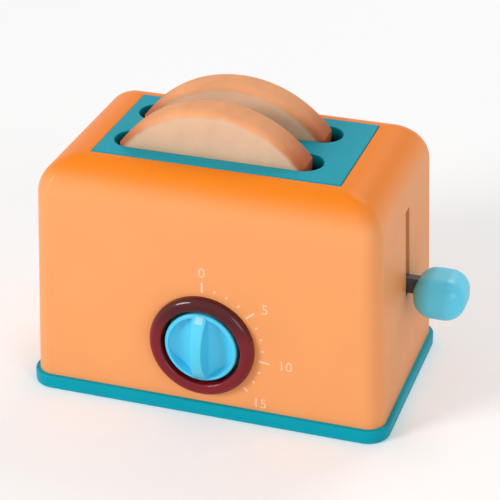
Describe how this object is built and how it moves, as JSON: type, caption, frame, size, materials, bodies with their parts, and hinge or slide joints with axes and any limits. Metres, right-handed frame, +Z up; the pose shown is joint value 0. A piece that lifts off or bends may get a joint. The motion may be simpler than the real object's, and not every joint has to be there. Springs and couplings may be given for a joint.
{
  "type": "toy toaster",
  "caption": "Toy toaster with a round-shouldered body, slices of bread that rise on a lever carriage, and a timer dial in a see-through ring.",
  "frame": {"origin": "centre of the footprint, on the table", "axes": "+Z up, the dial faces -Y, the lever is on +X"},
  "size_m": [0.182, 0.1046, 0.129],
  "materials": {
    "orange_shell": "smooth moulded",
    "teal_plastic": "smooth moulded",
    "knob_blue": "smooth moulded",
    "burgundy_clear": "see-through moulded",
    "bread_crumb": "soft-touch moulded",
    "frame_grey": "plain moulded",
    "ivory_plastic": "plain moulded",
    "gear_yellow": "plain moulded",
    "cam_orange": "plain moulded",
    "black_plastic": "plain moulded",
    "plated_steel": "zinc plated",
    "spring_steel": "blued",
    "brass_arbor": "turned",
    "board_green": "coated",
    "lamp_red": "clear tinted",
    "cell_sleeve": "printed sleeve",
    "wire_red": "insulated",
    "switch_red": "plain moulded"
  },
  "bodies": {
    "housing": {"outer_shell": "orange_shell", "top_insert": "teal_plastic", "base_plate": "teal_plastic", "dial_lens": "burgundy_clear", "timer_front": "ivory_plastic", "timer_back": "ivory_plastic", "light_board": "board_green", "ring_lamps": "lamp_red", "guide_rods": "plated_steel", "battery_cells": "cell_sleeve", "battery_contacts": "plated_steel", "base_screws": "plated_steel", "timer_screws": "plated_steel", "latch_pin": "plated_steel", "light_switch": "black_plastic", "wiring": "wire_red", "mainspring": "spring_steel", "return_springs": "plated_steel", "battery_door": "teal_plastic", "door_screw": "plated_steel"},
    "carriage": {"bread_carriage": "frame_grey", "guide_bushes": "ivory_plastic", "lever_arm": "frame_grey", "lever_knob": "knob_blue", "lever_screw": "plated_steel"},
    "front_slice": {"front_toast": "bread_crumb"},
    "rear_slice": {"rear_toast": "bread_crumb"},
    "dial": {"dial_knob": "knob_blue", "dial_shaft": "plated_steel", "drive_gear": "gear_yellow", "release_cam": "cam_orange"},
    "middle_wheel": {"middle_gear": "ivory_plastic", "middle_arbor": "brass_arbor"},
    "governor": {"fly_pinion": "ivory_plastic", "fly_arbor": "brass_arbor", "governor_fly": "black_plastic"},
    "latch": {"latch_hook": "cam_orange"},
    "plunger": {"switch_plunger": "switch_red"}
  },
  "joints": [
    {"name": "carriage_slide", "type": "slide", "parent": "housing", "child": "carriage", "axis": [0, 0, 1], "range_m": [0, 0.03], "deforming": ["return_springs"]},
    {"name": "front_slice_lift", "type": "slide", "parent": "carriage", "child": "front_slice", "axis": [0, 0, 1], "range_m": [0, 0.09]},
    {"name": "rear_slice_lift", "type": "slide", "parent": "carriage", "child": "rear_slice", "axis": [0, 0, 1], "range_m": [0, 0.09]},
    {"name": "dial_turn", "type": "hinge", "parent": "housing", "child": "dial", "pos_m": [0, 0, 0.034], "axis": [0, 1, 0], "range_deg": [0, 141]},
    {"name": "middle_wheel_turn", "type": "hinge", "parent": "housing", "child": "middle_wheel", "pos_m": [-0.01258, -0.034, 0.04217], "axis": [0, 1, 0], "range_deg": [-564, 0]},
    {"name": "governor_turn", "type": "hinge", "parent": "housing", "child": "governor", "pos_m": [-0.01466, -0.032, 0.03035], "axis": [0, 1, 0], "range_deg": [0, 1692]},
    {"name": "latch_pivot", "type": "hinge", "parent": "housing", "child": "latch", "pos_m": [0.012, -0.012, 0.018], "axis": [0, 1, 0], "range_deg": [-12, 0]},
    {"name": "plunger_slide", "type": "slide", "parent": "housing", "child": "plunger", "axis": [0, 0, 1], "range_m": [0, 0.0015]}
  ],
  "couplings": [
    {"joint": "middle_wheel_turn", "follows": "dial_turn", "ratio": -4},
    {"joint": "governor_turn", "follows": "dial_turn", "ratio": 12},
    {"joint": "plunger_slide", "follows": "carriage_slide", "ratio": 0.05}
  ]
}
